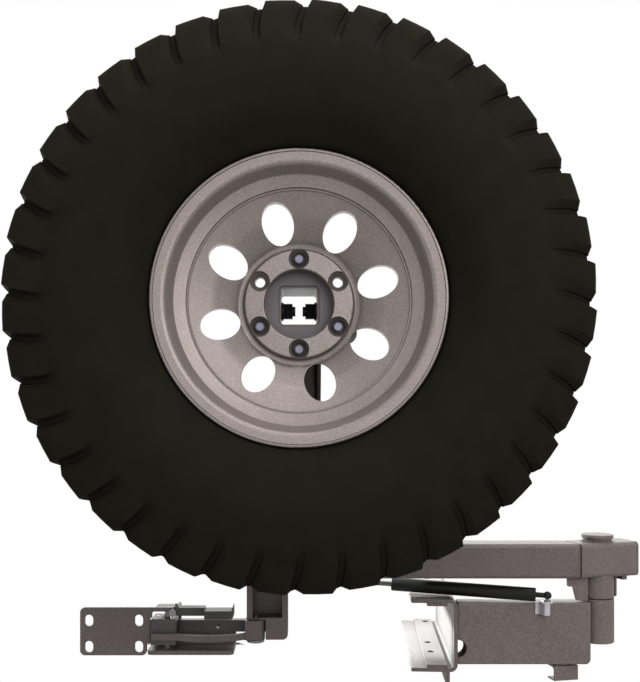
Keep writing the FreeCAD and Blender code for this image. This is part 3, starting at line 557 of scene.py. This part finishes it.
@dataclass
class Studio:
    """A white sweep, soft light from above and the front, a spot, and the level camera."""

    camera_at: Vector = field(default_factory=lambda: wheel_hub() + Vector((0.0, -1.45, -0.179)))
    lens_mm: float = 49.62
    lens_shift: tuple[float, float] = (0.0308, 0.1158)
    sweep_half_width: float = 4.0
    floor_from: float = -3.5
    floor_to: float = 2.2
    sweep_radius: float = 1.2
    wall_top: float = 4.5
    drop: float = 0.03
    floor_glow: float = 0.45
    wall_glow: float = 2.2
    room_glow: float = 0.75
    # Each softbox: its name, its place from the carrier's middle, its side and its watts.
    softboxes: tuple[tuple[str, tuple[float, float, float], float, float], ...] = (
        ("top_softbox", (0.2, -0.6, 2.2), 1.8, 31.0),
        ("front_softbox", (1.0, -2.5, 0.9), 1.6, 29.0))
    # The spot shines into the open side of the rail bracket, a little blue to even the coat out.
    spot_at: tuple[float, float, float] = (-0.95, 0.2, 0.62)
    spot_power: float = 540.0
    spot_cone_deg: float = 24.0
    spot_colour: tuple[float, float, float] = (0.8, 1.0, 1.0)

    def sweep(self) -> None:
        """Build the floor that curves up into the backdrop."""
        floor_z = cad_box[0][2] - self.drop
        radius = self.sweep_radius
        profile = [(self.floor_from, 0.0), (self.floor_to, 0.0)]
        steps = 12
        for step in range(1, steps + 1):
            turn = math.radians(90 * step / steps)
            profile.append((self.floor_to + radius * math.sin(turn),
                            radius * (1 - math.cos(turn))))
        profile.append((self.floor_to + radius, self.wall_top))
        work = bmesh.new()
        sides = [[work.verts.new((x, y, floor_z + z)) for y, z in profile]
                 for x in (-self.sweep_half_width, self.sweep_half_width)]
        for i in range(len(profile) - 1):
            work.faces.new((sides[0][i], sides[1][i], sides[1][i + 1], sides[0][i + 1]))
        for face in work.faces:
            face.smooth = True
        mesh = bpy.data.meshes.new("studio_sweep")
        work.to_mesh(mesh)
        work.free()
        sweep = bpy.data.objects.new("studio_sweep", mesh)
        bpy.context.scene.collection.objects.link(sweep)
        paper = self.paper()
        mesh.materials.append(paper)

    def paper(self) -> bpy.types.Material:
        """Make the sweep's paper: pure white to look at, and brighter light from the wall.

        Returns:
            The paper's material.
        """
        paper = bpy.data.materials.new("white_paper_sweep")
        paper.use_nodes = True
        tree = paper.node_tree
        tree.nodes.clear()
        place = add_node(tree, "ShaderNodeTexCoord")
        axes = add_node(tree, "ShaderNodeSeparateXYZ", {"Vector": place.outputs["Object"]})
        glow = add_node(tree, "ShaderNodeMapRange", {"Value": axes.outputs["Y"]},
                        From_Min=0.6, From_Max=2.4, To_Min=self.floor_glow, To_Max=self.wall_glow)
        lit = add_node(tree, "ShaderNodeEmission", {"Strength": glow.outputs["Result"]})
        seen = add_node(tree, "ShaderNodeEmission", Strength=1.0)
        path = add_node(tree, "ShaderNodeLightPath")
        both = add_node(tree, "ShaderNodeMixShader", {"Fac": path.outputs["Is Camera Ray"]})
        tree.links.new(lit.outputs["Emission"], both.inputs[1])
        tree.links.new(seen.outputs["Emission"], both.inputs[2])
        add_node(tree, "ShaderNodeOutputMaterial", {"Surface": both.outputs["Shader"]})
        return paper

    @staticmethod
    def hang(data: bpy.types.Light, middle: Vector, at: tuple[float, float, float]) -> None:
        """Hang a light so that it faces a point.

        Args:
            data: the light.
            middle: the point that it faces.
            at: its place, in metres from that point.
        """
        lamp = bpy.data.objects.new(data.name, data)
        lamp.location = middle + Vector(at)
        lamp.rotation_euler = (middle - lamp.location).to_track_quat("-Z", "Y").to_euler()
        bpy.context.scene.collection.objects.link(lamp)

    def light(self) -> None:
        """Hang the softboxes and the rail bracket's spot, and set the room's even white."""
        middle = (Vector(cad_box[0]) + Vector(cad_box[1])) / 2
        for name, at, size, power in self.softboxes:
            data = bpy.data.lights.new(name, "AREA")
            data.shape = "SQUARE"
            data.size = size
            data.energy = power
            self.hang(data, middle, at)
        low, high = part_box("frame_bracket")
        data = bpy.data.lights.new("rail_spot", "SPOT")
        data.energy = self.spot_power
        data.color = self.spot_colour
        data.spot_size = math.radians(self.spot_cone_deg)
        data.spot_blend = 0.5
        data.shadow_soft_size = 0.12
        self.hang(data, (low + high) / 2, self.spot_at)
        world = bpy.data.worlds.new("white_room")
        world.use_nodes = True
        tree = world.node_tree
        tree.nodes.clear()
        lit = add_node(tree, "ShaderNodeBackground", Strength=self.room_glow)
        seen = add_node(tree, "ShaderNodeBackground", Strength=1.0)
        for shade in (lit, seen):
            shade.inputs["Color"].default_value = (1.0, 1.0, 1.0, 1.0)
        path = add_node(tree, "ShaderNodeLightPath")
        both = add_node(tree, "ShaderNodeMixShader", {"Fac": path.outputs["Is Camera Ray"]})
        tree.links.new(lit.outputs["Background"], both.inputs[1])
        tree.links.new(seen.outputs["Background"], both.inputs[2])
        add_node(tree, "ShaderNodeOutputWorld", {"Surface": both.outputs["Shader"]})
        bpy.context.scene.world = world
        bpy.context.scene.view_settings.view_transform = "Standard"

    def camera(self) -> None:
        """Set the level camera, with the shift that frames the carrier."""
        data = bpy.data.cameras.new("studio_camera")
        data.lens = self.lens_mm
        data.shift_x, data.shift_y = self.lens_shift
        camera = bpy.data.objects.new("studio_camera", data)
        camera.location = self.camera_at
        camera.rotation_euler = (math.radians(90), 0, 0)
        bpy.context.scene.collection.objects.link(camera)
        bpy.context.scene.camera = camera

    def build(self) -> None:
        """Set up the whole studio."""
        self.sweep()
        self.light()
        self.camera()
        log.info("studio: sweep, two softboxes, a spot, camera at %s", self.camera_at)


def sub_assemblies() -> list[SubAssembly]:
    """List the carrier's groups of CAD parts with their finishes.

    Returns:
        The groups, in the order in which they are fitted.
    """
    # The lighter coat on the pivot, pivot box and clip bracket is painted light.
    return [
        SubAssembly("rail bracket",
                    plates=("frame_bracket", "bracket_doubler_upper", "bracket_doubler_lower",
                            "bracket_rib", "clip_bracket"),
                    turned=("clip_screws", "strut_bracket", "strut_ball_lower"),
                    special={"clip_bracket": POWDER_COAT_PAINTED_LIGHTER}),
        SubAssembly("square tubes", plates=("pivot_box", "arm_beam"), edge_mm=2.6,
                    special={"pivot_box": POWDER_COAT_PAINTED_LIGHTER}),
        SubAssembly("pivot",
                    plates=("pivot_head", "head_end_plate", "sleeve_front_gusset",
                            "sleeve_rear_gusset", "head_bottom_tab"),
                    turned=("pivot_barrel", "kingpin", "thrust_washer", "retaining_washer",
                            "retaining_screw", "pivot_sleeve", "pivot_bushes", "pivot_cap"),
                    special={name: POWDER_COAT_PAINTED_LIGHTER for name in (
                        "pivot_head", "pivot_barrel", "pivot_sleeve", "pivot_cap",
                        "sleeve_front_gusset")} | {"thrust_washer": BLACK_OXIDE}),
        SubAssembly("catch",
                    plates=("latch_plate", "catch_top_plate", "catch_channel",
                            "catch_side_plate", "catch_rail_left", "catch_rail_right"),
                    turned=("striker_pin", "catch_nut"),
                    special={"catch_rail_left": CATCH_STEEL, "catch_rail_right": CATCH_STEEL,
                             "catch_nut": TURNED_STEEL}),
        SubAssembly("swing arm",
                    plates=("arm_end_plate", "post", "post_cap", "post_ears",
                            "hub_tube", "hub_plate", "drop_leg"),
                    turned=("arm_plug", "cross_bolts", "cross_nuts", "cross_washers",
                            "wheel_studs"),
                    special={"hub_plate": HUB_PLATE_COAT, "wheel_studs": STUD_STEEL}),
        # The latch's tongue and jaw take the darker steel: painted shade.
        SubAssembly("latch",
                    plates=("latch_tongue", "latch_jaw", "latch_handle"),
                    turned=("pawl_pin", "latch_pawl", "handle_pin"),
                    special={"latch_tongue": LATCH_STEEL_PAINTED_DARKER, "latch_jaw": LATCH_STEEL_PAINTED_DARKER}),
        SubAssembly("gas strut",
                    turned=("strut_arm_bracket", "strut_ball_upper", "strut_tube",
                            "strut_end_lower", "strut_end_upper", "strut_rod")),
        SubAssembly("wheel", turned=("wheel",)),
    ]


def main() -> None:
    """Dress the carrier and set up the studio."""
    logging.basicConfig(level=logging.INFO, format="%(name)s %(message)s")
    for group in sub_assemblies():
        group.dress()
    Tyre().build()
    Studio().build()


if __name__ == "__main__":
    main()
